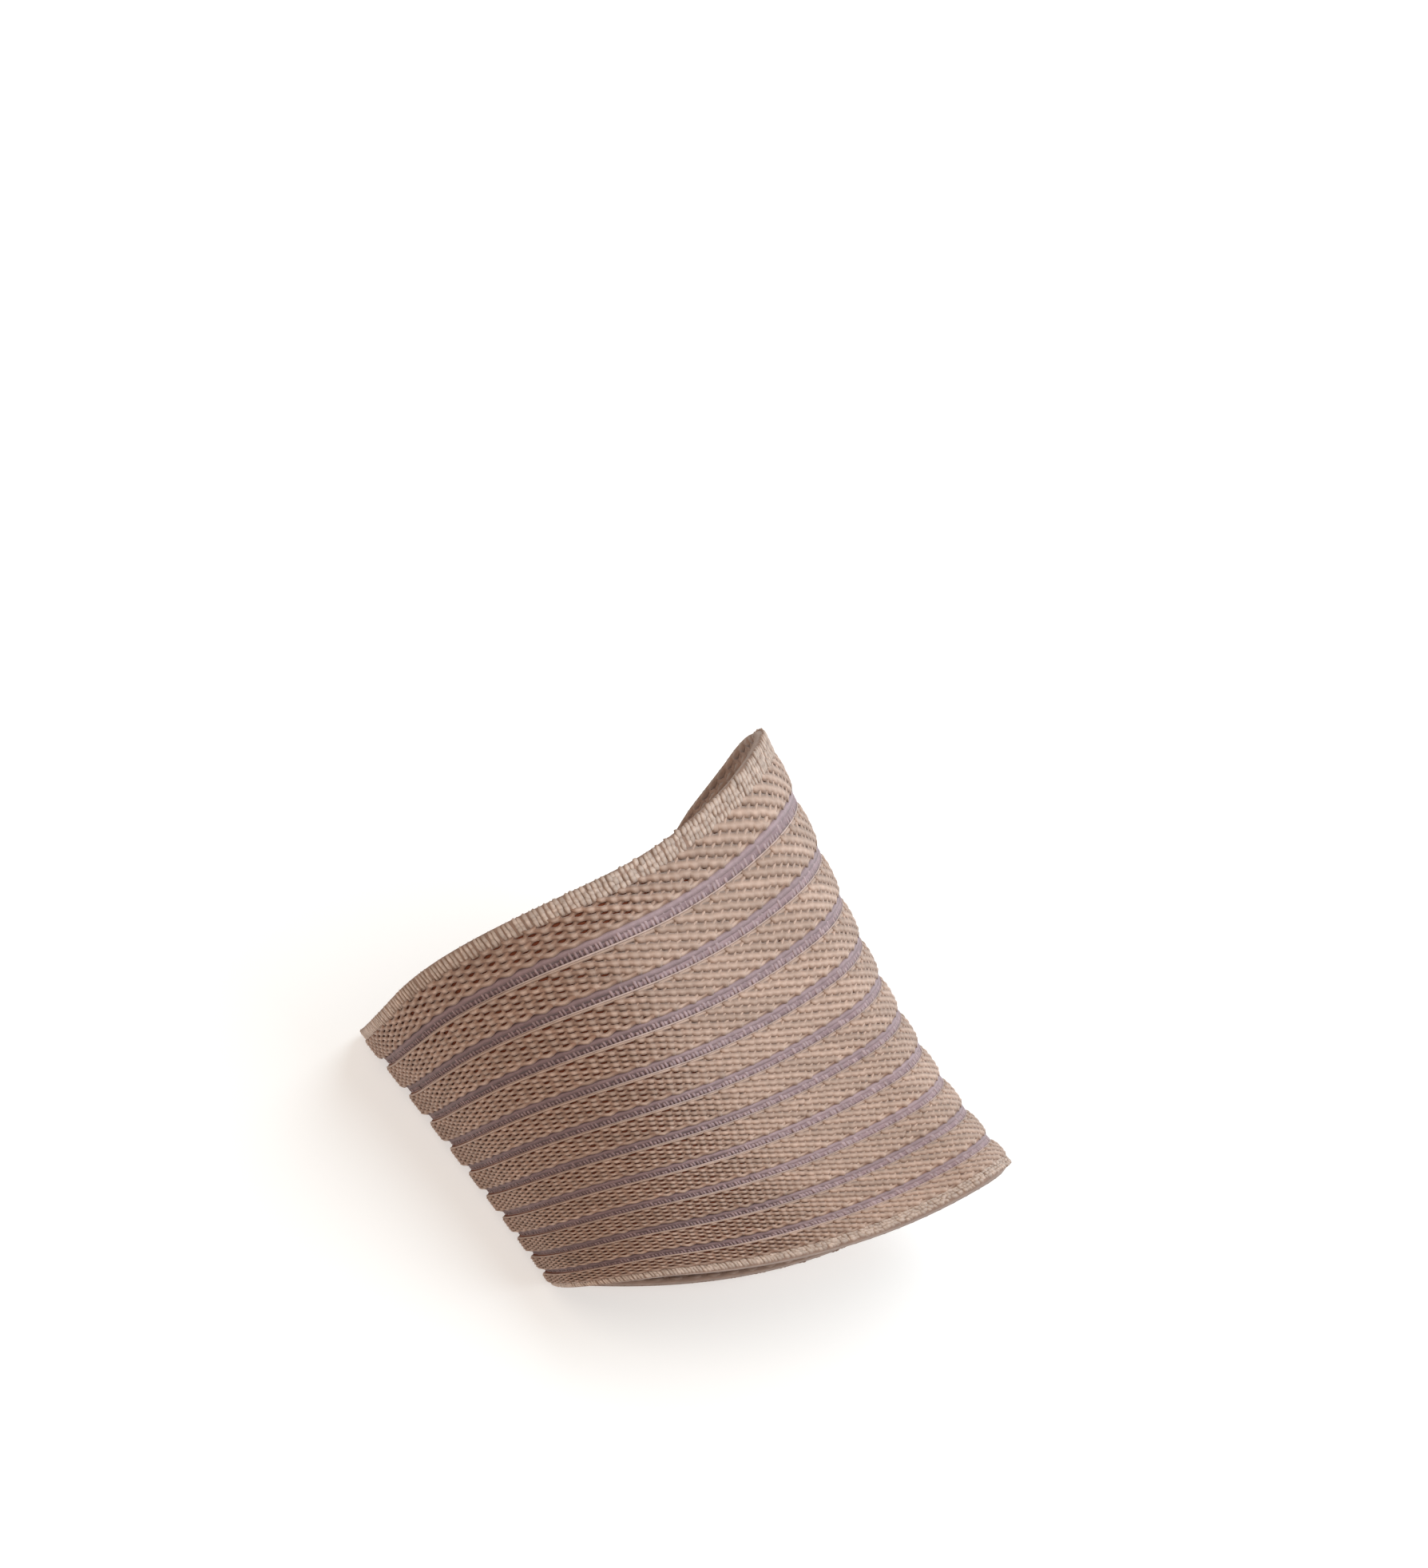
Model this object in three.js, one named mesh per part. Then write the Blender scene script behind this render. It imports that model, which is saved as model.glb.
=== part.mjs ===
// Elastic knitted support bandage for the metatarsal region of a right foot.
// A ribbed tube that keeps the form it has when worn. Sizes are in millimetres.
// +X points to the toes, +Y to the big toe side and +Z up. The origin is in the middle of the hollow.
import * as THREE from 'three';

// Driving dimensions
const RIB_COUNT = 11;
const LENGTH = 76; // along X, from the heel edge to the toe edge
const RIB_WALL = 2.4; // thickness of the knit at the crest of a rib
const WEB_WIDTH = 1.5; // elastic strip between two ribs
const WEB_DEPTH = 1.2; // how far the strip lies below the crest of the ribs
const EDGE_WIDTH = 2.1; // knitted selvedge at each end
const EDGE_BACK = 2.1; // how far the inside of a selvedge lies below the crest of the ribs
const GAP = 0.3; // clearance between neighbouring rings
const HOLLOW_HEIGHT = 25; // middle of the hollow above the sole
const HALF_WIDTH = 40; // typical distance from the middle to either side

const PITCH = LENGTH / RIB_COUNT;

// Sections of the tube at its heel end, middle and toe end. Each is four circles that the taut knit
// wraps: the outer edge of the sole, the shoulder above it, the instep ridge and the inner side.
// Y is a circle's outermost point (the ridge: its centre) and Z its centre (the ridge: its top).
// lean, yaw, bow, twist and under say how far a ring moves along X from a flat upright plane.
const SECTIONS = [
  {
    edgeY: -36, edgeR: 6, shoulderY: -42.5, shoulderZ: 25, shoulderR: 35,
    ridgeY: 19, ridgeZ: 67, ridgeR: 21.5, innerY: 39, innerZ: 32, innerR: 14,
    lean: 0.18, yaw: -0.19, bow: 9.5, twist: -0.7, under: 7,
  },
  {
    edgeY: -36, edgeR: 6, shoulderY: -39.5, shoulderZ: 19, shoulderR: 22,
    ridgeY: 21, ridgeZ: 48, ridgeR: 19, innerY: 40.5, innerZ: 24.5, innerR: 11,
    lean: 0.56, yaw: -0.13, bow: 6.5, twist: 2, under: 2,
  },
  {
    edgeY: -37, edgeR: 6, shoulderY: -40, shoulderZ: 14, shoulderR: 13.5,
    ridgeY: 22.5, ridgeZ: 45.5, ridgeR: 13, innerY: 45, innerZ: 17, innerR: 12.5,
    lean: 0.31, yaw: 0.13, bow: 7.5, twist: -2.3, under: 8.5,
  },
];

// Steps round the arc of each circle and along the tangent to the next one
const STEPS = [
  { arc: 4, line: 2 },
  { arc: 7, line: 3 },
  { arc: 7, line: 3 },
  { arc: 6, line: 8 },
];

// Cross-sections of the rings: place across the ring, from 0 at its heel side to 1, and depth below
// the crest of the ribs. Listed from the inner heel-side corner over the crest and back inside.
const RIB_PROFILE = [
  { across: 0, depth: RIB_WALL },
  { across: 0, depth: 0.9 },
  { across: 0.16, depth: 0.25 },
  { across: 0.5, depth: 0 },
  { across: 0.84, depth: 0.25 },
  { across: 1, depth: 0.9 },
  { across: 1, depth: RIB_WALL },
];
const WEB_PROFILE = [
  { across: 0, depth: RIB_WALL },
  { across: 0, depth: WEB_DEPTH },
  { across: 1, depth: WEB_DEPTH },
  { across: 1, depth: RIB_WALL },
];
const EDGE_PROFILE = [
  { across: 0, depth: EDGE_BACK },
  { across: 0, depth: 0.8 },
  { across: 0.3, depth: 0.3 },
  { across: 0.7, depth: 0.3 },
  { across: 1, depth: 0.8 },
  { across: 1, depth: EDGE_BACK },
];

const KNIT = new THREE.MeshStandardMaterial({ color: 0xa68f85, roughness: 0.9, metalness: 0 });
const SELVEDGE = new THREE.MeshStandardMaterial({ color: 0xb0a090, roughness: 0.9, metalness: 0 });
const ELASTIC = new THREE.MeshStandardMaterial({ color: 0x8c787d, roughness: 0.7, metalness: 0 });

// The section at a share of the length, by a parabola through the three rows
function sectionAt(share) {
  const [heel, middle, toe] = SECTIONS;
  const heelWeight = (1 - share) * (1 - 2 * share);
  const middleWeight = 4 * share * (1 - share);
  const toeWeight = share * (2 * share - 1);
  const section = {};
  for (const column of Object.keys(heel)) {
    section[column] = heelWeight * heel[column] + middleWeight * middle[column] + toeWeight * toe[column];
  }
  return section;
}

// The four circles of a section, drawn in by a depth below the crest of the ribs
function circlesOf(section, depth) {
  const s = section;
  return [
    { y: s.edgeY + s.edgeR, z: s.edgeR, r: s.edgeR - depth },
    { y: s.shoulderY + s.shoulderR, z: s.shoulderZ, r: s.shoulderR - depth },
    { y: s.ridgeY, z: s.ridgeZ - s.ridgeR, r: s.ridgeR - depth },
    { y: s.innerY - s.innerR, z: s.innerZ, r: s.innerR - depth },
  ];
}

// Direction from a circle's centre to where the outer tangent leaves it for the next circle
function tangentAngle(from, to) {
  const distance = Math.hypot(to.y - from.y, to.z - from.z);
  const heading = Math.atan2(to.z - from.z, to.y - from.y);
  return heading + Math.acos((from.r - to.r) / distance);
}

function pointOnCircle(circle, angle) {
  return { y: circle.y + circle.r * Math.cos(angle), z: circle.z + circle.r * Math.sin(angle) };
}

// Closed outline of a section, clockwise as seen from the heel, from the edge of the sole upwards
function outlineOf(section, depth) {
  const circles = circlesOf(section, depth);
  const count = circles.length;
  const leave = circles.map((circle, i) => tangentAngle(circle, circles[(i + 1) % count]));
  const points = [];
  circles.forEach((circle, i) => {
    const { arc, line } = STEPS[i];
    const arrive = leave[(i + count - 1) % count];
    const turn = THREE.MathUtils.euclideanModulo(arrive - leave[i], 2 * Math.PI);
    for (let step = 0; step < arc; step += 1) {
      points.push(pointOnCircle(circle, arrive - (turn * step) / arc));
    }
    const start = pointOnCircle(circle, leave[i]);
    const end = pointOnCircle(circles[(i + 1) % count], leave[i]);
    for (let step = 0; step < line; step += 1) {
      const part = step / line;
      points.push({ y: start.y + (end.y - start.y) * part, z: start.z + (end.z - start.z) * part });
    }
  });
  return points;
}

// One ring of points round the foot, at a place along X and a depth below the crest of the ribs
function ringPoints(along, depth) {
  const share = along / LENGTH;
  const section = sectionAt(share);
  return outlineOf(section, depth).map(({ y, z }) => {
    const side = y / HALF_WIDTH;
    const rise = (z - HOLLOW_HEIGHT) / HOLLOW_HEIGHT;
    const low = Math.min(rise, 0);
    const x = along - LENGTH / 2 + section.lean * (z - HOLLOW_HEIGHT) + section.yaw * y
      - section.bow * side * side + section.twist * side * rise - section.under * low * low;
    return new THREE.Vector3(x, y, z);
  });
}

// A closed ring with the given cross-section between two places along X
function ringMesh(name, start, end, profile, material) {
  const rows = profile.map(({ across, depth }) => ringPoints(start + (end - start) * across, depth));
  const around = rows[0].length;
  const index = [];
  for (let row = 0; row < rows.length; row += 1) {
    const here = row * around;
    const next = ((row + 1) % rows.length) * around;
    for (let i = 0; i < around; i += 1) {
      const j = (i + 1) % around;
      index.push(here + i, next + j, here + j);
      index.push(here + i, next + i, next + j);
    }
  }
  const geometry = new THREE.BufferGeometry().setFromPoints(rows.flat());
  geometry.setIndex(index);
  geometry.computeVertexNormals();
  const mesh = new THREE.Mesh(geometry, material);
  mesh.name = name;
  return mesh;
}

const bandage = new THREE.Group();
bandage.name = 'metatarsal_bandage';
bandage.position.z = -HOLLOW_HEIGHT;

const numbered = (word, number) => `${word}_${String(number).padStart(2, '0')}`;
const halfGroove = WEB_WIDTH / 2 + GAP;

for (let rib = 1; rib <= RIB_COUNT; rib += 1) {
  const start = rib === 1 ? EDGE_WIDTH + GAP : (rib - 1) * PITCH + halfGroove;
  const end = rib === RIB_COUNT ? LENGTH - EDGE_WIDTH - GAP : rib * PITCH - halfGroove;
  bandage.add(ringMesh(numbered('rib', rib), start, end, RIB_PROFILE, KNIT));
}
for (let web = 1; web < RIB_COUNT; web += 1) {
  const start = web * PITCH - WEB_WIDTH / 2;
  bandage.add(ringMesh(numbered('web', web), start, start + WEB_WIDTH, WEB_PROFILE, ELASTIC));
}
bandage.add(ringMesh('heel_edge', 0, EDGE_WIDTH, EDGE_PROFILE, SELVEDGE));
bandage.add(ringMesh('toe_edge', LENGTH - EDGE_WIDTH, LENGTH, EDGE_PROFILE, SELVEDGE));

export default bandage;
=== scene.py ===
# The look of an elastic knitted support bandage: a ribbed tube in the form that it has when worn.
# Sizes are in millimetres until mesh_piece() turns them into metres. From the camera on, they are in
# metres.
import math

import bpy
import numpy as np
from mathutils import Matrix, Vector


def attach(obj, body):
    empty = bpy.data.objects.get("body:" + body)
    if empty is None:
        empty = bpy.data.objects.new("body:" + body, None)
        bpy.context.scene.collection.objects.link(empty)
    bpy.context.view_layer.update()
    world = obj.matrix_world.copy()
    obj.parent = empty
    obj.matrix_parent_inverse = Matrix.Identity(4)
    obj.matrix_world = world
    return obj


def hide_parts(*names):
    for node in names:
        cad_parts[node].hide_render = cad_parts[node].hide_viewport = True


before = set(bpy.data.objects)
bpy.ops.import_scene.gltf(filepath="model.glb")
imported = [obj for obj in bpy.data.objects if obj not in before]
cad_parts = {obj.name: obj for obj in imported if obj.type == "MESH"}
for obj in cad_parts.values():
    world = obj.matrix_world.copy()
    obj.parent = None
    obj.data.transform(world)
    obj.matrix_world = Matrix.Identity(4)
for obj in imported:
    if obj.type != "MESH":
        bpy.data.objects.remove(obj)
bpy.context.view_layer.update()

MM = 0.001
TURN = 2 * math.pi
ACROSS = math.pi / 2  # direction across a ring, or up from it
SEED = 11
rng = np.random.default_rng(SEED)

# Driving dimensions of the tube, as in the solids
RIB_COUNT = 11
LENGTH = 76.0
PITCH = LENGTH / RIB_COUNT
RIB_WALL = 2.4
WEB_WIDTH = 1.5
EDGE_WIDTH = 2.1
GAP = 0.3
HALF_GROOVE = WEB_WIDTH / 2 + GAP
HOLLOW_HEIGHT = 25.0
HALF_WIDTH = 40.0

# Sections at the heel end, the middle and the toe end: four circles that the taut knit wraps, and
# how far a ring moves along X from a flat upright plane
SECTION_NAMES = (
    "edge_y edge_r shoulder_y shoulder_z shoulder_r ridge_y ridge_z ridge_r "
    "inner_y inner_z inner_r lean yaw bow twist under"
).split()
SECTIONS = np.array([
    [-36, 6, -42.5, 25, 35, 19, 67, 21.5, 39, 32, 14, 0.18, -0.19, 9.5, -0.7, 7],
    [-36, 6, -39.5, 19, 22, 21, 48, 19, 40.5, 24.5, 11, 0.56, -0.13, 6.5, 2, 2],
    [-37, 6, -40, 14, 13.5, 22.5, 45.5, 13, 45, 17, 12.5, 0.31, 0.13, 7.5, -2.3, 8.5],
])

# Grid on which the skin of the tube is worked out
GRID_TURNS = 720
GRID_OVERRUN = 2
GRID_STEP = 1.0
GRID_MARGIN = 0.001  # how far places stay inside the last row, in rows
ARC_STEPS = 48

# Three values in brackets are for the outer side of the tube (-Y), its ridge and its inner side (+Y)

# Knit of the ribs: two families of strands that cross a rib and meet in rows of nodes. They go down
# in steps on the outer side, and one family lies straight on top on the inner side.
COLUMN_COUNT = 72  # strands of a family in one turn
ROW_SPACING = 0.52
FIRST_ROW = 0.78  # from the heel side of a rib to its first row of nodes
FIRST_ROW_AT_EDGE = 0.1  # the same on the rib beside the heel selvedge
LAST_ROW = 0.4  # from the last row of nodes to the toe side of the rib
STRAND_START = -0.6  # where a strand starts, in rows from its first node
STEPS_PER_ROW = 4
STEPPING = (1.0, 0.65, 0.35)  # 1 for strands in full steps and 0 for straight ones
FALLING_WIDTH = (0.86, 0.97, 1.44)
RISING_WIDTH = (0.82, 0.7, 0.95)
STRAND_HEIGHT = 0.7
STRAND_TIP = 0.1  # share of the width at both ends of a strand
STRAND_REACH = (1.0, 1.0, 1.1)  # how much longer the strands are across the rib
STRAND_THINNING = (0.2, 0.14, -0.03)  # share by which the strands of the last rib are thinner
FALLING_RISE = (0.02, 0.04, 0.05)
RISING_RISE = (-0.02, -0.14, -0.07)
ARRIVAL = (0.08, 0.05, 0.03)  # how far a strand lies on top before a node and below after it
NODE_SWELL = (0.0, 0.1, 0.03)  # share by which the strands are wider at the nodes
NODE_CHANGE = (0.15, 0.12, 0.03)  # share by which every second row is thinner, and the others thicker
NODE_SPREAD = 0.045  # how far the nodes are out of place
ASIDE_SPREAD = 2  # how much more they are so sideways
SAG = (0.03, 0.05, 0.05)  # how far the nodes hang towards the toe end
BULGE = (0.08, 0.08, 0.02)  # how far the nodes stand out
LINK_SHADE = (0.2, 0.19, 0.02)  # how much painted shade darkens the strands between the nodes
HEEL_SLOPE = (0.05, 0.15, 0.45)  # how far the heel side of a rib lies below its crest
HEEL_SLOPE_POWER = 2
TOE_SLOPE = (0.05, 0.1, 0.1)
TOE_SLOPE_POWER = 6
SLOPE_LIMIT = 1.2  # where the slopes end, in half widths of the rib

# Straight yarn at the heel side of a rib, and waving yarn at its toe side
BAND_PLACE = 0.3  # from the heel side
BAND_WIDTH = (0.5, 0.5, 0.9)
BAND_DEPTH = (0.05, 0.05, 0.14)
TONGUE_PLACE = 0.05  # from the toe side
TONGUE_WIDTH = (0.85, 0.85, 0.9)
TONGUE_DEPTH = (0.05, 0.0, 0.14)
TONGUE_SWING = (0.2, 0.22, 0.08)
SWING_CHANGE = (0.4, 1.3)  # share of the swing, which changes from column to column
# Scale of the painted light on the tongues: below 1 gives more painted shade
TONGUE_SHINE = (0.75, 0.75, 0.85)
TONGUE_SHADE = 0.3  # how much painted shade darkens the yarn where it draws back from the groove, and painted highlight lightens it where it reaches out
TONGUE_STEPS = 6  # for each column
LINE_STEPS = 4  # the same of straight yarns

# How the knit is pulled: columns are wider apart over the ridge at the heel end and closer together
# at the toe end, and rows slip sideways on the inner side
STRETCH_HEEL = -0.26
STRETCH_TOE = 0.17
STRETCH_TURN = 0.32
SLIP = 0.2
SLIP_TURN = 0.05
SLANT_TURN = 0.55
SLANT_SHIFT = 0.19
SLANT_SHARPNESS = 3.0
FIRST_RIB_DELAY = 0.05  # share of a turn by which the first rib changes later than the others

# Elastic ladder in the grooves: bars over a strip darkened as painted shade, a smooth strip along the
# heel side of the groove and a thread along its toe side
BAR_COUNT = 320
BAR_LENGTH = (0.8, 2.2)  # from the shortest to the longest
BAR_REACH = (1.0, 1.0, 1.1)  # how much longer the bars are
BAR_END = 1.1  # from the middle of the groove to the toe ends of the bars
BAR_PAIRING = 0.14  # how far every second bar is moved, as a share of their spacing
BAR_SCATTER = 0.06  # how far the bars are out of place, as a share of their spacing
BAR_WIDTH = (0.55, 0.64, 0.9)
BAR_WIDTH_CHANGE = (0.85, 1.15)
BAR_DEPTH = (0.86, 0.62, 0.53)
BAR_DEPTH_SPREAD = 0.03
BAR_HEIGHT = 0.3
BAR_DIVE = 0.1  # how far the ends go down
STRIP_WIDTH = (1.6, 1.6, 1.4)
STRIP_SHIFT = -0.45
STRIP_DEPTH = (0.8, 0.62, 0.48)
STRIP_HEIGHT = 0.4
SLOT_WIDTH = (2.0, 2.0, 2.0)  # strip darkened as painted shade in the slots between the bars
SLOT_SHIFT = 0.2
SLOT_DEPTH = (1.0, 0.8, 0.56)
THREAD_WIDTH = (0.2, 0.3, 0.2)
THREAD_DEPTH = (0.95, 0.25, 0.55)
THREAD_HEIGHT = 0.28
# Scale of the painted light on the elastic: lowest on the outer side, as painted shade
ELASTIC_SHINE = (0.66, 0.74, 0.95)

# Selvedges: stitches in tiers, which are straight on the outer side and uneven on the inner side
EDGE_TIERS = 3
HEEL_OVERHANG = 0.25  # how far a selvedge stands out of the end of the tube
TOE_OVERHANG = 0.2
EDGE_OVERLAP = 0.15  # how far it lies over the rib beside it
HEEL_EDGE_DEPTH = 0.6  # middle of the stitches below the crest of the ribs
TOE_EDGE_DEPTH = 0.65
CORE_INSET = 0.1  # plain core under the stitches
CORE_RISE = 0.05
STITCH_COUNT = 320
STITCH_SCATTER = 0.1  # how far the stitches are out of place, as a share of their spacing
STITCH_WIDTH = (0.72, 1.05, 1.25)
STITCH_WIDTH_CHANGE = (0.8, 1.2)
STITCH_LENGTH = (0.7, 0.6, 0.45)  # share of the selvedge's width
STITCH_LENGTH_CHANGE = (0.85, 1.1)
STITCH_SPREAD = (0.12, 0.22, 0.6)  # of the directions, in radians
STITCH_SHIFT = (0.06, 0.08, 0.15)  # how far each stitch of a tier is out of place
STITCH_LUMPS = (0.06, 0.08, 0.1)
STITCH_HEIGHT = 0.6
STITCH_DIVE = 0.12

# Backing under the yarn, plain ground in the ribs, whose dark red-brown is painted shade in the holes
# of the knit, and flat loops on the inside
BACKING_DEPTH = 1.25
BACKING_INSET = 0.3
BACKING_STEPS = 200
BACKING_SPACING = 2.0
GROUND_DEPTH = 0.6
GROUND_OVERLAP = 0.3
WALL_STEPS = 144
WALL_SPACING = 0.8
WALL_TONE = 0.5
LOOP_ROWS = 4
EDGE_LOOP_ROWS = 2
LOOP_OVERRUN = 0.5
LOOP_LENGTH = 0.95  # share of the space between two columns
LOOP_WIDTH = 1.15
LOOP_HEIGHT = 0.5
LOOP_DIVE = -0.1

# Yarn materials
YARN_ROUGHNESS = 0.85
SHEEN = 0.2
SHEEN_ROUGHNESS = 0.5
SPECULAR = 0.25
END_SHADE = 0.4  # how much painted shade darkens bars, loops and stitches at their ends
LOW_PAINTED_LIGHT = 0.08  # painted light values at which a yarn has its colour in painted shade and its middle colour
MIDDLE_PAINTED_LIGHT = 0.6
TONE_RANGE = (0.86, 1.1)  # from yarn to yarn
PATCH_SCALE = 700
PATCH_NOISE = (0.3, 0.7)
PATCH_RANGE = (0.88, 1.1)
FIBRE_SCALE = 4200
FIBRE_DETAIL = 3
FIBRE_STRENGTH = 0.35
FIBRE_RELIEF = 0.00012  # in metres


def as_share(value):
    """A value from -1 to 1 as a share from 0 to 1."""
    return value * 0.5 + 0.5


def parabola(share, values):
    """Value at a share of the way, by a parabola through a first, a middle and a last value."""
    first, middle, last = values
    return (
        first * (1 - share) * (1 - 2 * share) + middle * 4 * share * (1 - share)
        + last * share * (2 * share - 1)
    )


def section_at(share):
    return dict(zip(SECTION_NAMES, parabola(share, SECTIONS)))


def evenly(points, count):
    """A closed line of points, as count points evenly spaced by length."""
    line = np.vstack([points, points[:1]])
    walked = np.concatenate([[0], np.cumsum(np.linalg.norm(np.diff(line, axis=0), axis=1))])
    even = np.linspace(0, walked[-1], count, endpoint=False)
    return np.stack([np.interp(even, walked, column) for column in line.T], axis=1)


def outline_of(section):
    """Closed outline of a section in Y and Z: arcs of the four circles and their tangents."""
    circles = [
        (section["edge_y"] + section["edge_r"], section["edge_r"], section["edge_r"]),
        (section["shoulder_y"] + section["shoulder_r"], section["shoulder_z"], section["shoulder_r"]),
        (section["ridge_y"], section["ridge_z"] - section["ridge_r"], section["ridge_r"]),
        (section["inner_y"] - section["inner_r"], section["inner_z"], section["inner_r"]),
    ]
    leave = []
    for (y0, z0, r0), (y1, z1, r1) in zip(circles, circles[1:] + circles[:1]):
        distance = math.hypot(y1 - y0, z1 - z0)
        leave.append(math.atan2(z1 - z0, y1 - y0) + math.acos((r0 - r1) / distance))
    points = []
    for i, (y, z, r) in enumerate(circles):
        turn = (leave[i - 1] - leave[i]) % TURN
        angles = leave[i - 1] - turn * np.linspace(0, 1, ARC_STEPS)
        points.append(np.stack([y + r * np.cos(angles), z + r * np.sin(angles)], axis=1))
    return evenly(np.vstack(points), 2 * GRID_TURNS)


def ring_at(along):
    """Points of the ring at a place along X, evenly spaced by length."""
    section = section_at(along / LENGTH)
    y, z = outline_of(section).T
    side = y / HALF_WIDTH
    rise = (z - HOLLOW_HEIGHT) / HOLLOW_HEIGHT
    low = np.minimum(rise, 0)
    x = along - LENGTH / 2 + section["lean"] * (z - HOLLOW_HEIGHT) + section["yaw"] * y
    x += section["twist"] * side * rise - section["bow"] * side**2 - section["under"] * low**2
    return evenly(np.stack([x, y, z - HOLLOW_HEIGHT], axis=1), GRID_TURNS)


grid_along = np.arange(-GRID_OVERRUN, LENGTH + GRID_OVERRUN + GRID_STEP / 2, GRID_STEP)
skin = np.array([ring_at(along) for along in grid_along])
skin_round = np.roll(skin, -1, axis=1) - np.roll(skin, 1, axis=1)
skin_out = np.cross(skin_round, np.gradient(skin, axis=0))
skin_out *= -1 / np.linalg.norm(skin_out, axis=2, keepdims=True)
grid_girth = np.linalg.norm(np.roll(skin, -1, axis=1) - skin, axis=2).sum(axis=1)


def girth_at(along):
    return float(np.interp(along, grid_along, grid_girth))


def on_skin(turn, along, rise):
    """Points at a share of the way round, a place along X and a height above the crest of a rib."""
    column = np.mod(turn, 1) * GRID_TURNS
    row = np.clip((along - grid_along[0]) / GRID_STEP, 0, len(grid_along) - 1 - GRID_MARGIN)
    left = column.astype(int) % GRID_TURNS
    right = (left + 1) % GRID_TURNS
    low = row.astype(int)
    column_share = (column - np.floor(column))[..., None]
    row_share = (row - low)[..., None]

    def blend(grid):
        near = grid[low, left] * (1 - column_share) + grid[low, right] * column_share
        far = grid[low + 1, left] * (1 - column_share) + grid[low + 1, right] * column_share
        return near * (1 - row_share) + far * row_share

    return blend(skin) + blend(skin_out) * rise[..., None]


def turn_of(column, along):
    """Share of the way round of a column, by how the knit is stretched at a place along X."""
    stretch = STRETCH_HEEL + (STRETCH_TOE - STRETCH_HEEL) * along / LENGTH
    turns = np.linspace(0, 1, GRID_TURNS + 1)
    waves = turns + stretch * np.sin(TURN * (turns - STRETCH_TURN)) / TURN
    columns = COLUMN_COUNT * (waves - waves[0])
    return np.interp(np.mod(column, COLUMN_COUNT), columns, turns) + np.floor(column / COLUMN_COUNT)


def slip_at(turn):
    """How far each row of nodes slips sideways from the row before."""
    return SLIP * (1 - np.cos(TURN * (turn - SLIP_TURN)))


def slanted(turn, values):
    """Blend of the values for the outer side of the tube, its ridge and its inner side."""
    lean = np.cos(TURN * (turn - SLANT_TURN)) + SLANT_SHIFT
    return parabola(as_share(np.tanh(SLANT_SHARPNESS * lean)), values)


def level(turn, along):
    """A crown without slopes."""
    return 0 * turn + 0 * along


def crown_of(start, end):
    """How the skin of a rib lies below its crest: a long slope on its heel side and a short one on
    its toe side."""
    middle = (start + end) / 2
    half = (end - start) / 2

    def crown(turn, along):
        place = np.clip((along - middle) / half, -SLOPE_LIMIT, SLOPE_LIMIT)
        heel = slanted(turn, HEEL_SLOPE) * np.maximum(-place, 0) ** HEEL_SLOPE_POWER
        toe = slanted(turn, TOE_SLOPE) * np.maximum(place, 0) ** TOE_SLOPE_POWER
        return -heel - toe

    return crown


def under(depths, height):
    """Heights of the middles of yarns whose tops lie at the given depths."""
    return [-depth - height / 2 for depth in depths]


def columns_of(count, scatter):
    """Column numbers of evenly spaced yarns, each a little out of place."""
    return (np.arange(count) + rng.normal(0, scatter, count)) * COLUMN_COUNT / count


def spindle(sides, rings, blunt):
    """A closed unit spindle along its first axis: its points and faces. blunt is 1 for an ellipse,
    and more for fuller ends."""
    places = np.cos(np.linspace(math.pi, 0, rings + 2))
    radius = (1 - np.abs(places) ** (2 * blunt)) ** 0.5
    points = [(-1, 0, 0)]
    for place, reach in zip(places[1:-1], radius[1:-1]):
        for side in range(sides):
            angle = TURN * side / sides
            points.append((place, reach * math.cos(angle), reach * math.sin(angle)))
    points.append((1, 0, 0))
    faces = []
    last = len(points) - 1
    for side in range(sides):
        after = (side + 1) % sides
        faces.append((0, 1 + after, 1 + side))
        for ring in range(rings - 1):
            here = 1 + ring * sides
            there = here + sides
            faces.append((here + side, here + after, there + after))
            faces.append((here + side, there + after, there + side))
        end = 1 + (rings - 1) * sides
        faces.append((end + side, end + after, last))
    return np.array(points, float), np.array(faces)


BAR_SHAPE = spindle(sides=5, rings=3, blunt=2.6)
LOOP_SHAPE = spindle(sides=4, rings=3, blunt=1.2)
STITCH_SHAPE = spindle(sides=5, rings=3, blunt=2.0)


def yarns(shape, turn, along, rise, length, width, height, tilt, dive, shine=1.0):
    """Copies of a spindle laid on the skin, as points, faces, tone and painted light, which gives
    painted shade low on each yarn and at its ends and a painted highlight on its top. Each yarn has a
    middle, a length along the girth before it is tilted, a width, a height and a dive, which is how
    far its ends go down."""
    points, faces = shape
    count = len(turn)
    turn, along, rise, length, width, height, tilt, dive, shine = (
        np.broadcast_to(value, count)[:, None]
        for value in (turn, along, rise, length, width, height, tilt, dive, shine)
    )
    lengthwise, sideways, upright = (points[:, axis][None] for axis in range(3))
    run = lengthwise * length / 2
    across = sideways * width / 2
    round_by = run * np.cos(tilt) - across * np.sin(tilt)
    along_by = run * np.sin(tilt) + across * np.cos(tilt)
    top = rise + upright * height / 2 - dive * lengthwise**2
    girth = girth_at(float(along.mean()))
    where = on_skin(turn + round_by / girth, along + along_by, top)
    corners = (faces[None] + (np.arange(count) * len(points))[:, None, None]).reshape(-1, 3)
    tone = np.repeat(rng.uniform(0, 1, count), len(points))
    # Painted light: painted shade low on the yarn and towards its ends, painted highlight on its top
    painted_light = shine * as_share(upright) * (1 - END_SHADE * lengthwise**2)
    return where.reshape(-1, 3), corners, tone, painted_light.ravel()


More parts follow.
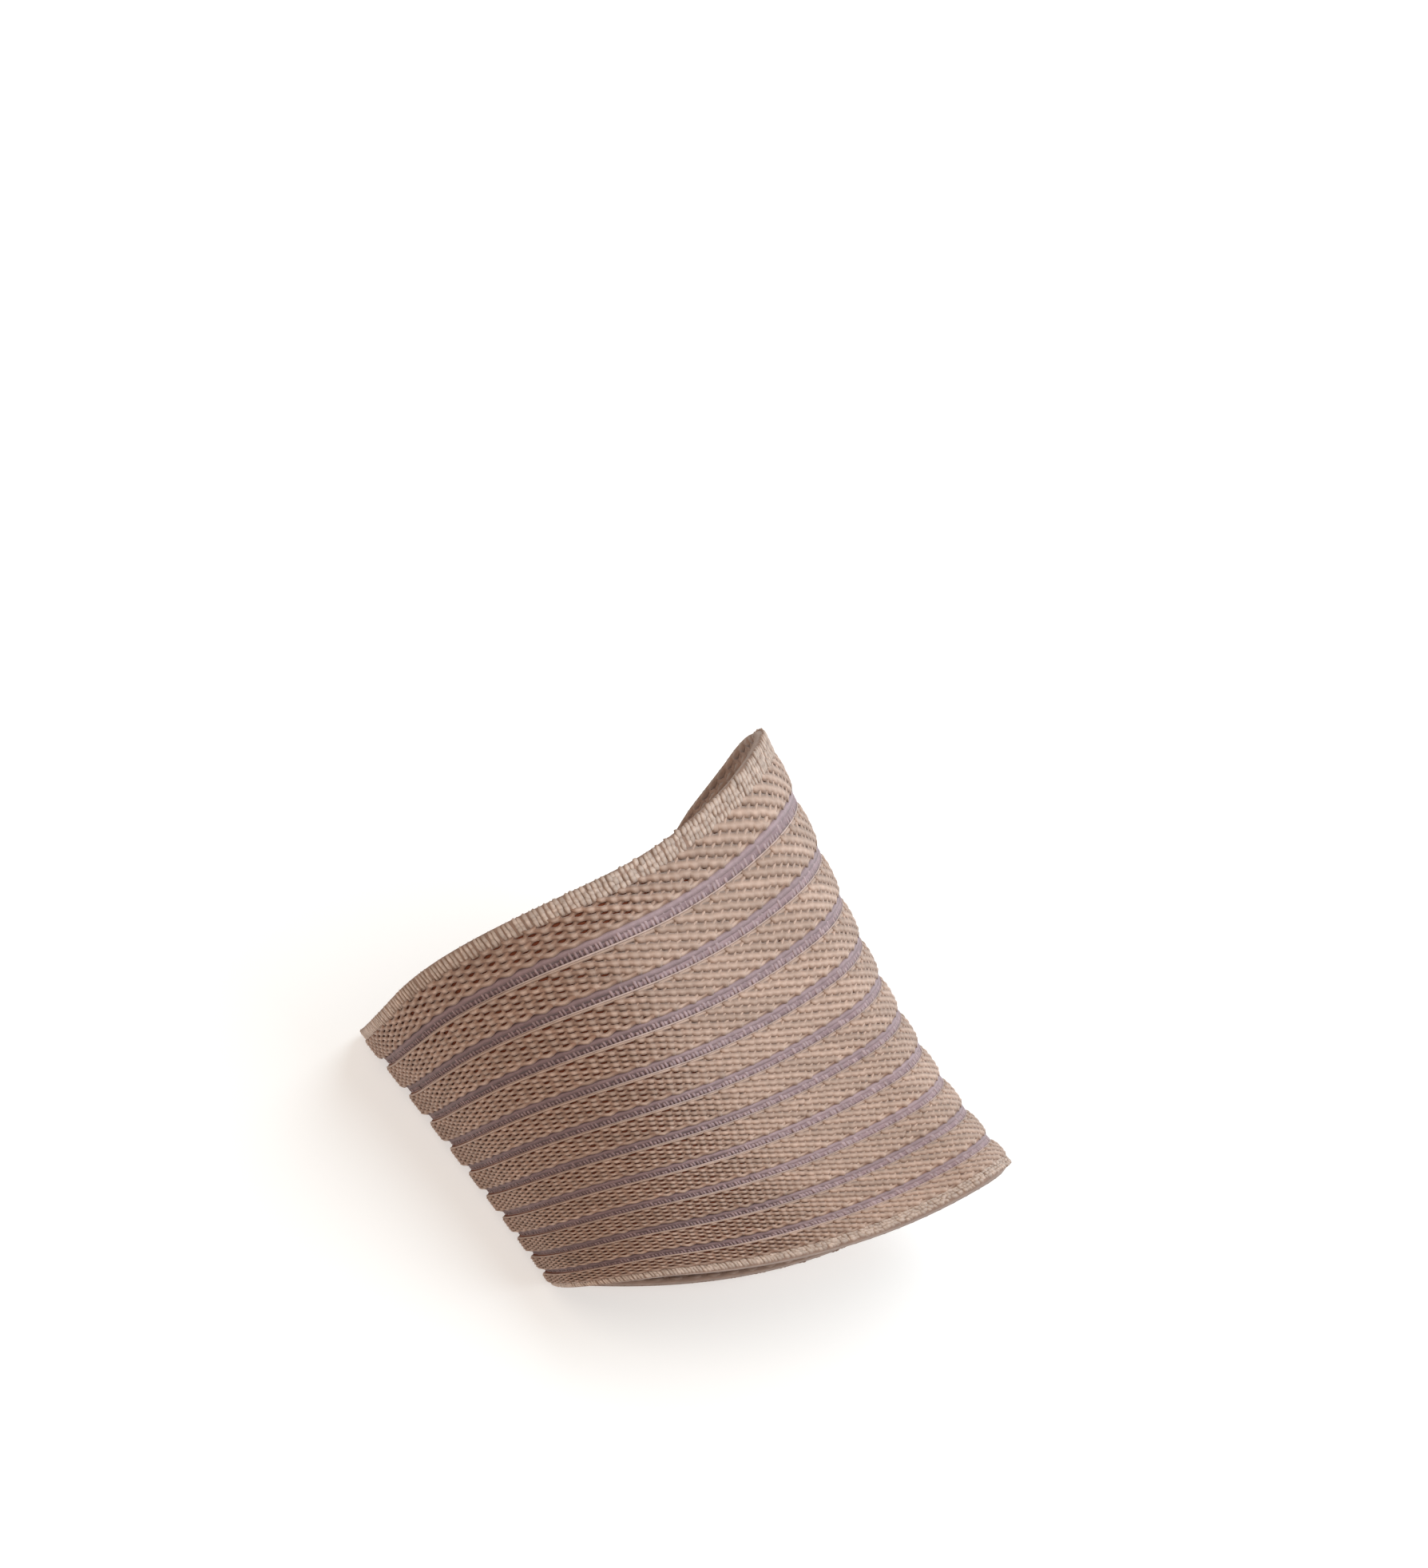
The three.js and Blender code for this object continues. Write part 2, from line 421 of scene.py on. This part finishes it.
def grid_faces(rows, size, spans, flip=False):
    """Triangles of a grid of rows of points, each closed to a ring. The first spans gaps between the
    rows are filled, and the last gap leads back to the first row."""
    row = np.arange(spans)[:, None]
    here = row * size
    there = (row + 1) % rows * size
    place = np.arange(size)[None]
    after = (place + 1) % size
    corners = [here + place, there + place, there + after, here + after]
    if flip:
        corners[1], corners[3] = corners[3], corners[1]
    quads = np.stack(corners, axis=2).reshape(-1, 4)
    return np.vstack([quads[:, :3], quads[:, [0, 2, 3]]])


def tubes(turn, along, rise, width, height, crown, shine, closed=True, sides=5):
    """Yarns that follow lines on the skin, one for each row of the arrays, as points, faces, tone and
    painted light, which gives painted shade low on each yarn and a painted highlight on its top.
    Closed ones go once round the tube, and the others are drawn to a point at both ends. shine scales
    the painted light along a yarn."""
    rows, steps = along.shape
    girth = girth_at(float(along.mean()))
    if closed:
        turn_by = np.roll(turn, -1, axis=1) - np.roll(turn, 1, axis=1)
        round_by = ((turn_by + 0.5) % 1 - 0.5) * girth
        along_by = np.roll(along, -1, axis=1) - np.roll(along, 1, axis=1)
        spans = steps
    else:
        round_by = np.gradient(turn, axis=1) * girth
        along_by = np.gradient(along, axis=1)
        width = width * np.where(np.arange(steps) % (steps - 1) == 0, STRAND_TIP, 1)
        spans = steps - 1
    walked = np.hypot(round_by, along_by)
    angle = TURN * np.arange(sides) / sides + ACROSS
    across = np.cos(angle) * width[..., None] / 2
    place = along[..., None] + (round_by / walked)[..., None] * across
    top = rise[..., None] + np.sin(angle) * height / 2 + crown(turn[..., None], place)
    place_round = turn[..., None] - (along_by / walked / girth)[..., None] * across
    where = on_skin(place_round, place, top)
    faces = grid_faces(steps, sides, spans)
    corners = (faces[None] + (np.arange(rows) * steps * sides)[:, None, None]).reshape(-1, 3)
    tone = np.repeat(rng.uniform(0, 1, rows), steps * sides)
    # Painted light: painted shade low on the yarn, painted highlight on its top
    painted_light = shine[..., None] * as_share(np.sin(angle))
    return where.reshape(-1, 3), corners, tone, painted_light.ravel()


def line_round(
    along, rise, width, height, crown=level, swing=(0, 0, 0), row=0, steps=LINE_STEPS,
    shine=(1, 1, 1), shade=0,
):
    """A yarn that runs once round the tube and may wave from side to side."""
    column = np.arange(COLUMN_COUNT * steps)[None] / steps
    turn = turn_of(column, along)
    bend = np.cos(TURN * (column - row / 2))
    change = rng.uniform(*SWING_CHANGE, COLUMN_COUNT)
    bend *= np.interp(column, np.arange(COLUMN_COUNT + 1), np.append(change, change[0]))
    turn = turn - row / 2 * slip_at(turn) / girth_at(along)
    along = along + slanted(turn, swing) * bend
    # Painted shade where the yarn draws back, painted highlight where it reaches out
    shine = slanted(turn, shine) * (1 + shade * bend)
    return tubes(turn, along, slanted(turn, rise), slanted(turn, width), height, crown, shine)


def wall_part(start, end, top, bottom, crown=level, steps=WALL_STEPS, spacing=WALL_SPACING):
    """A closed plain wall between two places along X and two depths below the crest."""
    rows = max(2, round((end - start) / spacing)) + 1
    places = np.linspace(start, end, rows)
    along = np.concatenate([places, places[::-1]])[:, None]
    turn = (np.arange(steps) / steps)[None]
    outside = crown(turn, places[:, None]) - top
    inside = np.full((rows, steps), -bottom)
    where = on_skin(turn + 0 * along, along + 0 * turn, np.vstack([outside, inside]))
    faces = grid_faces(2 * rows, steps, 2 * rows, flip=True)
    plain = np.full(2 * rows * steps, WALL_TONE)
    return where.reshape(-1, 3), faces, plain, plain


def rib_span(rib):
    start = EDGE_WIDTH if rib == 1 else (rib - 1) * PITCH + HALF_GROOVE
    end = LENGTH - EDGE_WIDTH if rib == RIB_COUNT else rib * PITCH - HALF_GROOVE
    return start, end


def knit_parts(rib):
    """The yarn on the outside of a rib: two families of strands, a band and a row of tongues."""
    start, end = rib_span(rib)
    middle = (start + end) / 2
    girth = girth_at(middle)
    crown = crown_of(start, end)
    first = start + (FIRST_ROW_AT_EDGE if rib == 1 else FIRST_ROW)
    rows = 1 + round((end - LAST_ROW - first) / ROW_SPACING)
    spacing = (end - LAST_ROW - first) / (rows - 1)
    step = np.linspace(STRAND_START, rows + STRAND_START, rows * STEPS_PER_ROW + 1)[None]
    strand = np.arange(COLUMN_COUNT)[:, None]
    aside, ahead = rng.normal(0, NODE_SPREAD, (2, COLUMN_COUNT, rows + 2))
    node = np.clip(np.round(step).astype(int), 0, rows + 1)
    swell = np.cos(TURN * step)
    parts = []
    for way, width, family_rise in (
        (1, FALLING_WIDTH, FALLING_RISE),
        (-1, RISING_WIDTH, RISING_RISE),
    ):
        turn = turn_of(strand + way * step / 2, middle)
        side = turn - FIRST_RIB_DELAY if rib == 1 else turn
        which = (strand - node * (way < 0)) % COLUMN_COUNT
        stepped = step - slanted(side, STEPPING) * np.sin(TURN * step) / TURN
        along = first + spacing * stepped + slanted(side, SAG) * swell + ahead[which, node]
        along = middle + (along - middle) * slanted(side, STRAND_REACH)
        rise = slanted(side, family_rise) + slanted(side, BULGE) * swell - STRAND_HEIGHT / 2
        rise -= slanted(side, ARRIVAL) * np.sin(TURN * step)
        wide = slanted(side, width) * (1 - slanted(side, NODE_CHANGE) * np.cos(math.pi * step))
        wide *= 1 + slanted(side, NODE_SWELL) * swell
        wide *= 1 - slanted(side, STRAND_THINNING) * rib / RIB_COUNT
        # Painted shade on the strands between the nodes
        shine = 1 - slanted(side, LINK_SHADE) * (1 - swell)
        slip = (step - rows / 2) * slip_at(turn) + ASIDE_SPREAD * aside[which, node]
        turn = turn - slip / girth
        parts.append(tubes(turn, along, rise, wide, STRAND_HEIGHT, crown, shine, closed=False))
    if rib > 1:
        rise = under(BAND_DEPTH, STRAND_HEIGHT)
        parts.append(line_round(start + BAND_PLACE, rise, BAND_WIDTH, STRAND_HEIGHT, crown))
    rise = under(TONGUE_DEPTH, STRAND_HEIGHT)
    parts.append(line_round(
        end - TONGUE_PLACE, rise, TONGUE_WIDTH, STRAND_HEIGHT, crown, swing=TONGUE_SWING, row=rows,
        steps=TONGUE_STEPS, shine=TONGUE_SHINE, shade=TONGUE_SHADE,
    ))
    return parts


def loop_parts(start, end, rows):
    """Plain flat loops on the inside."""
    middle = (start + end) / 2
    column = np.concatenate([np.arange(COLUMN_COUNT) + row / 2 for row in range(rows)])
    turn = turn_of(column, middle)
    along = start + (np.repeat(np.arange(rows), COLUMN_COUNT) + 0.5) * (end - start) / rows
    length = girth_at(middle) / COLUMN_COUNT * LOOP_LENGTH
    return yarns(
        LOOP_SHAPE, turn, along, -RIB_WALL, length, LOOP_WIDTH, LOOP_HEIGHT, tilt=0, dive=LOOP_DIVE
    )


def bar_parts(web):
    """The bars of the elastic ladder in a groove, in pairs."""
    middle = web * PITCH
    column = columns_of(BAR_COUNT, BAR_SCATTER)
    column += BAR_PAIRING * COLUMN_COUNT / BAR_COUNT * (np.arange(BAR_COUNT) % 2)
    turn = turn_of(column, middle)
    length = slanted(turn, BAR_REACH) * rng.uniform(*BAR_LENGTH, BAR_COUNT)
    along = middle + BAR_END - length / 2
    width = slanted(turn, BAR_WIDTH) * rng.uniform(*BAR_WIDTH_CHANGE, BAR_COUNT)
    rise = slanted(turn, under(BAR_DEPTH, BAR_HEIGHT)) + rng.normal(0, BAR_DEPTH_SPREAD, BAR_COUNT)
    shine = slanted(turn, ELASTIC_SHINE)
    return yarns(BAR_SHAPE, turn, along, rise, length, width, BAR_HEIGHT, ACROSS, BAR_DIVE, shine)


def stitch_parts(start, end, depth):
    """The uneven stitches of a selvedge, in tiers that overlap."""
    parts = []
    turn = turn_of(columns_of(STITCH_COUNT, STITCH_SCATTER), (start + end) / 2)
    for tier in range(EDGE_TIERS):
        length = (end - start) * slanted(turn, STITCH_LENGTH)
        length *= rng.uniform(*STITCH_LENGTH_CHANGE, STITCH_COUNT)
        along = start + length / 2 + tier * (end - start - length) / (EDGE_TIERS - 1)
        ahead, aside = slanted(turn, STITCH_SHIFT) * rng.uniform(-1, 1, (2, STITCH_COUNT))
        width = slanted(turn, STITCH_WIDTH) * rng.uniform(*STITCH_WIDTH_CHANGE, STITCH_COUNT)
        tilt = ACROSS + slanted(turn, STITCH_SPREAD) * rng.uniform(-1, 1, STITCH_COUNT)
        rise = slanted(turn, STITCH_LUMPS) * rng.uniform(-1, 1, STITCH_COUNT) - depth
        where = turn + aside / girth_at(start)
        parts.append(yarns(
            STITCH_SHAPE, where, along + ahead, rise, length, width, STITCH_HEIGHT, tilt, STITCH_DIVE
        ))
    return parts


def mesh_piece(name, parts, materials):
    """One smooth mesh from parts of points, triangles, tone and painted light. The first parts have a
    material each, and the last material is for the rest."""
    points, faces, tones, painted_lights, slots = [], [], [], [], []
    start = 0
    for slot, (where, corners, tone, painted_light) in enumerate(parts):
        points.append(where)
        faces.append(corners + start)
        tones.append(tone)
        painted_lights.append(painted_light)
        slots.append(np.full(len(corners), min(slot, len(materials) - 1)))
        start += len(where)
    points = np.vstack(points) * MM
    faces = np.vstack(faces)
    mesh = bpy.data.meshes.new(name)
    mesh.vertices.add(len(points))
    mesh.vertices.foreach_set("co", points.ravel())
    mesh.loops.add(faces.size)
    mesh.loops.foreach_set("vertex_index", faces.ravel())
    mesh.polygons.add(len(faces))
    mesh.polygons.foreach_set("loop_start", np.arange(len(faces)) * 3)
    mesh.polygons.foreach_set("material_index", np.concatenate(slots))
    for label, values in (("tone", tones), ("painted_light", painted_lights)):
        attribute = mesh.attributes.new(label, "FLOAT", "POINT")
        attribute.data.foreach_set("value", np.concatenate(values))
    for material in materials:
        mesh.materials.append(material)
    mesh.update(calc_edges=True)
    mesh.shade_smooth()
    piece = bpy.data.objects.new(name, mesh)
    bpy.context.scene.collection.objects.link(piece)
    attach(piece, "root")
    return piece


def srgb(red, green, blue):
    """Linear colour of a picture colour from 0 to 255, by the sRGB curve."""

    def linear(value):
        share = value / 255
        return share / 12.92 if share <= 0.04045 else ((share + 0.055) / 1.055) ** 2.4

    return [linear(red), linear(green), linear(blue), 1.0]


def set_sockets(node, values):
    for socket, value in values.items():
        node.inputs[socket].default_value = value


def yarn_material(name, low, middle, high, sheen=SHEEN):
    """Yarn with painted shade where it dives and low on its sides and a painted highlight at its
    crest:
    low, middle and high are its colours in painted shade, in between and in painted highlight, chosen
    by its painted light. It has some change from yarn to yarn, in patches and in the relief of its
    fibres."""
    material = bpy.data.materials.new(name)
    material.use_nodes = True
    nodes = material.node_tree.nodes
    links = material.node_tree.links

    def attribute(label):
        node = nodes.new("ShaderNodeAttribute")
        node.attribute_name = label
        return node.outputs["Fac"]

    def mapped(value, source, target):
        node = nodes.new("ShaderNodeMapRange")
        set_sockets(node, dict(zip(("From Min", "From Max", "To Min", "To Max"), source + target)))
        links.new(value, node.inputs["Value"])
        return node.outputs["Result"]

    def noise(settings):
        node = nodes.new("ShaderNodeTexNoise")
        set_sockets(node, settings)
        links.new(coordinates.outputs["Object"], node.inputs["Vector"])
        return node.outputs["Fac"]

    def shaded(colour, value):
        node = nodes.new("ShaderNodeHueSaturation")
        links.new(colour, node.inputs["Color"])
        links.new(value, node.inputs["Value"])
        return node.outputs["Color"]

    # Ramp from the colour in painted shade to the painted highlight, by the painted light of each
    # point
    ramp = nodes.new("ShaderNodeValToRGB")
    ramp.color_ramp.elements[0].color = srgb(*low)
    ramp.color_ramp.elements[0].position = LOW_PAINTED_LIGHT
    ramp.color_ramp.elements[1].color = srgb(*high)
    ramp.color_ramp.elements[1].position = 1.0
    ramp.color_ramp.elements.new(MIDDLE_PAINTED_LIGHT).color = srgb(*middle)
    links.new(attribute("painted_light"), ramp.inputs["Fac"])
    coordinates = nodes.new("ShaderNodeTexCoord")
    colour = shaded(ramp.outputs["Color"], mapped(attribute("tone"), (0, 1), TONE_RANGE))
    colour = shaded(colour, mapped(noise({"Scale": PATCH_SCALE}), PATCH_NOISE, PATCH_RANGE))

    bump = nodes.new("ShaderNodeBump")
    set_sockets(bump, {"Strength": FIBRE_STRENGTH, "Distance": FIBRE_RELIEF})
    links.new(noise({"Scale": FIBRE_SCALE, "Detail": FIBRE_DETAIL}), bump.inputs["Height"])

    shader = nodes["Principled BSDF"]
    set_sockets(shader, {
        "Roughness": YARN_ROUGHNESS,
        "Sheen Weight": sheen,
        "Sheen Roughness": SHEEN_ROUGHNESS,
        "Specular IOR Level": SPECULAR,
    })
    links.new(colour, shader.inputs["Base Color"])
    links.new(bump.outputs["Normal"], shader.inputs["Normal"])
    return material


# Colours of each yarn: in painted shade, in between and in painted highlight
KNIT = yarn_material("knit_yarn", (126, 76, 54), (150, 119, 103), (192, 166, 152))
# Ground: dark red-brown, as painted shade in the holes of the knit
GROUND_SHADE = yarn_material("knit_ground_shade", (112, 58, 36), (118, 62, 40), (122, 66, 44), sheen=0)
BACKING = yarn_material("knit_backing", (124, 96, 82), (130, 102, 88), (136, 108, 94))
ELASTIC = yarn_material("elastic_ladder", (104, 82, 80), (140, 115, 116), (168, 147, 152))
BARS = yarn_material("elastic_bars", (112, 88, 88), (152, 127, 128), (176, 156, 160))
# Slots: elastic darker than the strip, as painted shade between the bars
SLOT_SHADE = yarn_material("elastic_slot_shade", (104, 80, 82), (128, 101, 104), (156, 134, 139))
THREAD = yarn_material("edge_thread", (150, 124, 116), (184, 160, 152), (194, 172, 165))
SELVEDGE = yarn_material("selvedge_yarn", (142, 115, 101), (168, 144, 131), (201, 181, 169))
EDGE_CORE = yarn_material("selvedge_core", (140, 112, 98), (151, 124, 110), (155, 128, 114))

# Backing: one plain sheet, which carries the other pieces
backing_wall = wall_part(
    BACKING_INSET, LENGTH - BACKING_INSET, BACKING_DEPTH, RIB_WALL,
    steps=BACKING_STEPS, spacing=BACKING_SPACING,
)
backing = mesh_piece("knit_backing", [backing_wall], [BACKING])

# Ribs
for rib in range(1, RIB_COUNT + 1):
    start, end = rib_span(rib)
    # Ground under the strands, dark as painted shade in the holes
    ground_shade = wall_part(start, end, GROUND_DEPTH, BACKING_DEPTH + GROUND_OVERLAP, crown_of(start, end))
    loops = loop_parts(start - LOOP_OVERRUN, end + LOOP_OVERRUN, LOOP_ROWS)
    piece = mesh_piece(f"knit_rib_{rib:02d}", [ground_shade, loops] + knit_parts(rib), [GROUND_SHADE, KNIT])
    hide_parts(f"rib_{rib:02d}")

# Elastic ladders in the grooves
for web in range(1, RIB_COUNT):
    middle = web * PITCH
    rise = under(THREAD_DEPTH, THREAD_HEIGHT)
    thread = line_round(middle + HALF_GROOVE, rise, THREAD_WIDTH, THREAD_HEIGHT)
    rise = under(STRIP_DEPTH, STRIP_HEIGHT)
    strip = line_round(middle + STRIP_SHIFT, rise, STRIP_WIDTH, STRIP_HEIGHT, shine=ELASTIC_SHINE)
    # Dark strip under the bars, as painted shade in the slots between them
    rise = under(SLOT_DEPTH, STRIP_HEIGHT)
    slots = line_round(middle + SLOT_SHIFT, rise, SLOT_WIDTH, STRIP_HEIGHT, shine=ELASTIC_SHINE)
    parts = [bar_parts(web), slots, strip, thread]
    piece = mesh_piece(f"elastic_ladder_{web:02d}", parts, [BARS, SLOT_SHADE, ELASTIC, THREAD])
    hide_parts(f"web_{web:02d}")

# Selvedges
heel_edge_end = EDGE_WIDTH + EDGE_OVERLAP
toe_edge_start = LENGTH - EDGE_WIDTH - EDGE_OVERLAP
for name, node, start, end, depth in (
    ("heel_selvedge", "heel_edge", -HEEL_OVERHANG, heel_edge_end, HEEL_EDGE_DEPTH),
    ("toe_selvedge", "toe_edge", toe_edge_start, LENGTH + TOE_OVERHANG, TOE_EDGE_DEPTH),
):
    core = wall_part(start + CORE_INSET, end - CORE_INSET, depth - CORE_RISE, RIB_WALL)
    stitches = stitch_parts(start, end, depth)
    loops = loop_parts(start, end, EDGE_LOOP_ROWS)
    piece = mesh_piece(name, [core, loops] + stitches, [EDGE_CORE, SELVEDGE])
    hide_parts(node)

# Camera at the photograph's angle, rolled so that the toe end points down to the right
AZIMUTH = math.radians(31.3)
ELEVATION = math.radians(41.7)
ROLL = math.radians(-28.3)
DISTANCE = 1.1
AIM_RIGHT = 0.0011
AIM_UP = 0.0552
PIXELS_PER_METRE = 7130
PICTURE_WIDTH = 1788
SENSOR = 36.0

level_right = Vector((math.cos(AZIMUTH), math.sin(AZIMUTH), 0))
towards = Vector((
    math.sin(AZIMUTH) * math.cos(ELEVATION),
    -math.cos(AZIMUTH) * math.cos(ELEVATION),
    math.sin(ELEVATION),
))
level_up = towards.cross(level_right)
right = level_right * math.cos(ROLL) - level_up * math.sin(ROLL)
up = level_right * math.sin(ROLL) + level_up * math.cos(ROLL)
lens = bpy.data.cameras.new("camera")
lens.sensor_fit = "HORIZONTAL"
lens.sensor_width = SENSOR
lens.lens = SENSOR * PIXELS_PER_METRE * DISTANCE / PICTURE_WIDTH
camera = bpy.data.objects.new("camera", lens)
turned = Matrix((right, up, towards)).transposed()
place = right * AIM_RIGHT + up * AIM_UP + towards * DISTANCE
camera.matrix_world = Matrix.Translation(place) @ turned.to_4x4()
bpy.context.scene.collection.objects.link(camera)
bpy.context.scene.camera = camera

# Pale floor that glows a little
FLOOR_SIZE = 6.0
FLOOR_GAP = 0.0005
FLOOR_LOOK = {
    "Base Color": (0.5, 0.5, 0.5, 1),
    "Roughness": 0.9,
    "Emission Color": (1, 0.96, 0.93, 1),
    "Emission Strength": 0.55,
}

half = FLOOR_SIZE / 2
floor_z = -HOLLOW_HEIGHT * MM - FLOOR_GAP
corners = ((-half, -half), (half, -half), (half, half), (-half, half))
floor_mesh = bpy.data.meshes.new("floor")
floor_mesh.from_pydata([(x, y, floor_z) for x, y in corners], [], [(0, 1, 2, 3)])
floor = bpy.data.objects.new("floor", floor_mesh)
paper = bpy.data.materials.new("floor_paper")
paper.use_nodes = True
set_sockets(paper.node_tree.nodes["Principled BSDF"], FLOOR_LOOK)
floor_mesh.materials.append(paper)
bpy.context.scene.collection.objects.link(floor)


def area_light(name, direction, distance, size, power, colour):
    """A round lamp that points at the origin."""
    light = bpy.data.lights.new(name, "AREA")
    light.shape = "DISK"
    light.size = size
    light.energy = power
    light.color = colour
    lamp = bpy.data.objects.new(name, light)
    lamp.location = direction.normalized() * distance
    lamp.rotation_euler = direction.to_track_quat("Z", "Y").to_euler()
    bpy.context.scene.collection.objects.link(lamp)


# A large cool light from the upper right, a small warm one from the camera's side and a warm sky
area_light(
    "key", right * 0.9 + up * 0.5 + towards * 0.3,
    distance=1.4, size=2.4, power=31, colour=(0.92, 1.07, 1.17),
)
area_light(
    "fill", right * -0.2 + up * 0.3 + towards * 0.9,
    distance=1.6, size=1.2, power=8, colour=(1, 0.89, 0.79),
)
SKY_LOOK = {"Color": (1, 0.8, 0.58, 1), "Strength": 0.33}
world = bpy.data.worlds.new("world")
world.use_nodes = True
set_sockets(world.node_tree.nodes["Background"], SKY_LOOK)
bpy.context.scene.world = world
bpy.context.scene.view_settings.view_transform = "Standard"
